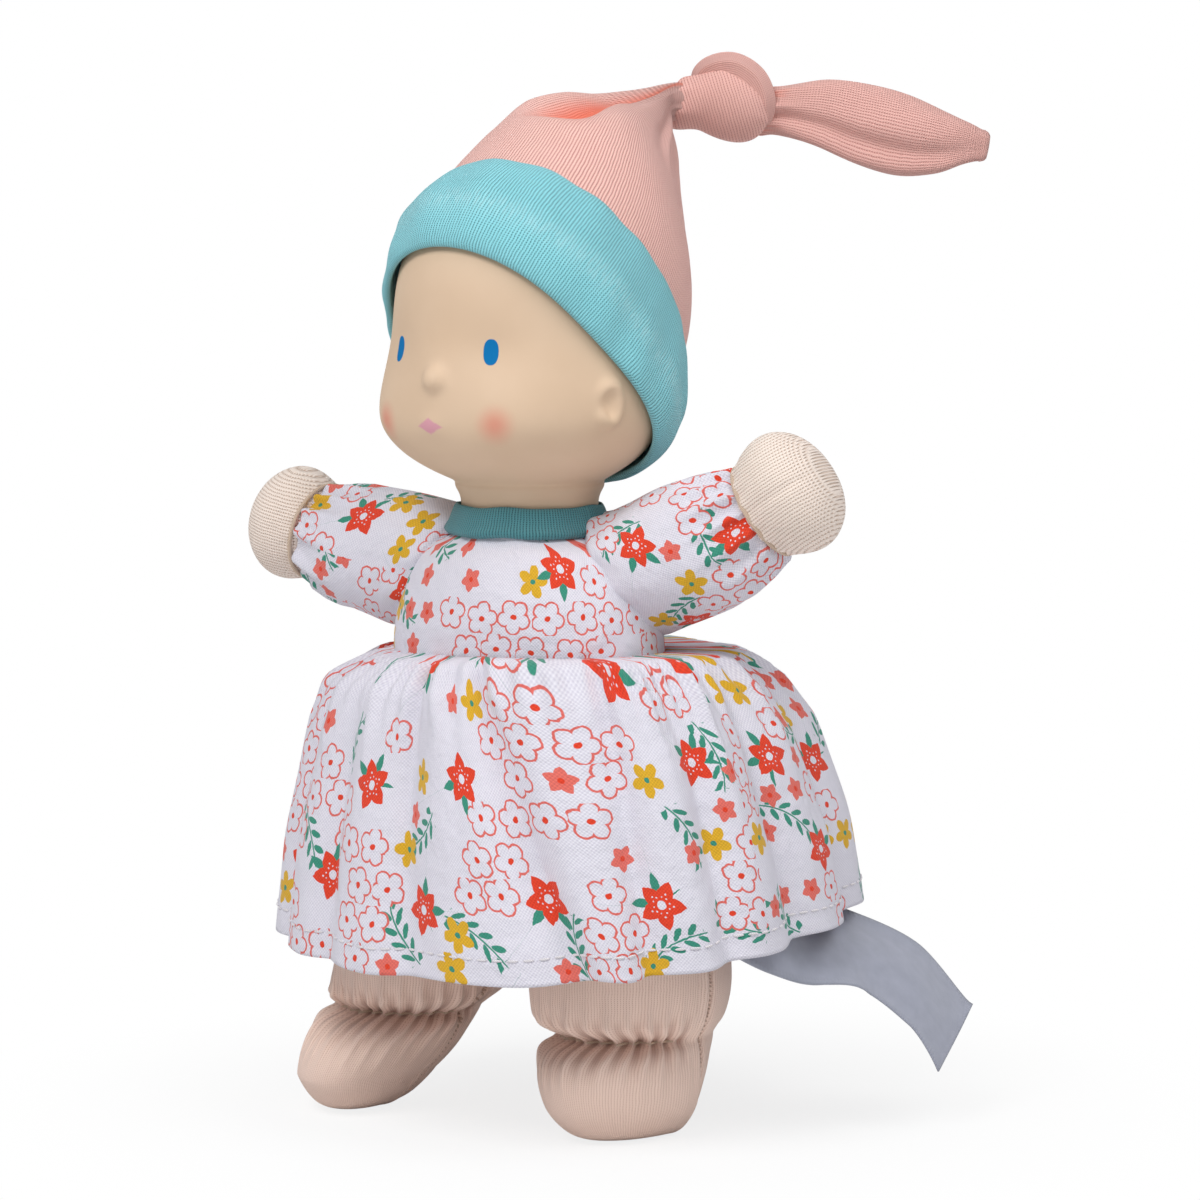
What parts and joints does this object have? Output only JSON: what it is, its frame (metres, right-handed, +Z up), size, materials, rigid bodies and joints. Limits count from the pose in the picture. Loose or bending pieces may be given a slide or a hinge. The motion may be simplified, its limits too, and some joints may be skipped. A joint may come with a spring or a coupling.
{
  "type": "baby doll",
  "caption": "Soft standing baby doll with a moulded rubber head, a stuffed cloth body in a gathered flower-print dress, knitted hands and legs, and a knitted hat with a knotted tip.",
  "frame": {"origin": "middle of the doll's bounding box, on the surface that its soles stand on", "axes": "+Z up through the doll; the doll faces -Y and its left hand is towards +X"},
  "size_m": [0.158, 0.154, 0.2411],
  "materials": {
    "head_rubber": "smooth matte moulded rubber, with a soft coral blush on each cheek",
    "eye_paint": "satin paint",
    "lip_paint": "satin paint",
    "printed_cotton": "plain-weave cotton with a small flower print",
    "stuffing": "loose fibre filling",
    "sewing_thread": "spun thread",
    "turquoise_rib_knit": "fine knit, doubled",
    "pink_knit": "fine knit",
    "hand_knit": "fine knit",
    "leg_knit": "fine knit",
    "satin_ribbon": "white satin ribbon, blank"
  },
  "bodies": {
    "torso": {"bodice_front": "printed_cotton", "bodice_back": "printed_cotton", "torso_stuffing": "stuffing", "neck_tie": "sewing_thread", "collar_binding": "turquoise_rib_knit", "skirt": "printed_cotton", "care_label": "satin_ribbon"},
    "head": {"head_shell": "head_rubber", "eye_paint_left": "eye_paint", "eye_paint_right": "eye_paint", "lip_paint": "lip_paint"},
    "hat": {"hat_brim": "turquoise_rib_knit", "hat_crown": "pink_knit"},
    "hat_tip": {"hat_knot": "pink_knit", "hat_tail": "pink_knit"},
    "left_arm": {"left_sleeve": "printed_cotton", "left_hand": "hand_knit", "left_arm_stuffing": "stuffing", "left_wrist_thread": "sewing_thread"},
    "right_arm": {"right_sleeve": "printed_cotton", "right_hand": "hand_knit", "right_arm_stuffing": "stuffing", "right_wrist_thread": "sewing_thread"},
    "seat": {"seat": "leg_knit", "seat_stuffing": "stuffing"},
    "left_leg": {"left_leg_front": "leg_knit", "left_leg_back": "leg_knit", "left_leg_stuffing": "stuffing", "left_ankle_thread": "sewing_thread"},
    "right_leg": {"right_leg_front": "leg_knit", "right_leg_back": "leg_knit", "right_leg_stuffing": "stuffing", "right_ankle_thread": "sewing_thread"}
  },
  "joints": [
    {"name": "head_turn", "type": "hinge", "parent": "torso", "child": "head", "pos_m": [-0.00134, -0.02649, 0.14], "axis": [0, 0, 1], "range_deg": [-45, 45], "stiffness_Nm_per_rad": 0.06},
    {"name": "hat_lift", "type": "slide", "parent": "head", "child": "hat", "axis": [0, 0.766, 0.6428], "range_m": [0, 0.07]},
    {"name": "hat_tip_flop", "type": "hinge", "parent": "hat", "child": "hat_tip", "pos_m": [-0.00134, 0.02399, 0.22693], "axis": [-0.6428, 0.766, 0], "range_deg": [-20, 45], "stiffness_Nm_per_rad": 0.02},
    {"name": "left_arm_raise", "type": "hinge", "parent": "torso", "child": "left_arm", "pos_m": [0.02798, -0.01697, 0.124], "axis": [0.309, -0.9511, 0], "range_deg": [-40, 25], "stiffness_Nm_per_rad": 0.08},
    {"name": "right_arm_raise", "type": "hinge", "parent": "torso", "child": "right_arm", "pos_m": [-0.03205, -0.02918, 0.124], "axis": [-0.0872, 0.9962, 0], "range_deg": [-25, 40], "stiffness_Nm_per_rad": 0.08},
    {"name": "sit_fold", "type": "hinge", "parent": "torso", "child": "seat", "pos_m": [-0.00134, -0.02649, 0.068], "axis": [-1, 0, 0], "range_deg": [0, 75], "stiffness_Nm_per_rad": 0.6, "deforming": ["skirt"]},
    {"name": "left_leg_swing", "type": "hinge", "parent": "seat", "child": "left_leg", "pos_m": [-0.00134, -0.02649, 0.068], "axis": [-1, 0, 0], "range_deg": [-15, 15], "stiffness_Nm_per_rad": 0.5},
    {"name": "right_leg_swing", "type": "hinge", "parent": "seat", "child": "right_leg", "pos_m": [-0.00134, -0.02649, 0.068], "axis": [-1, 0, 0], "range_deg": [-15, 15], "stiffness_Nm_per_rad": 0.5}
  ]
}
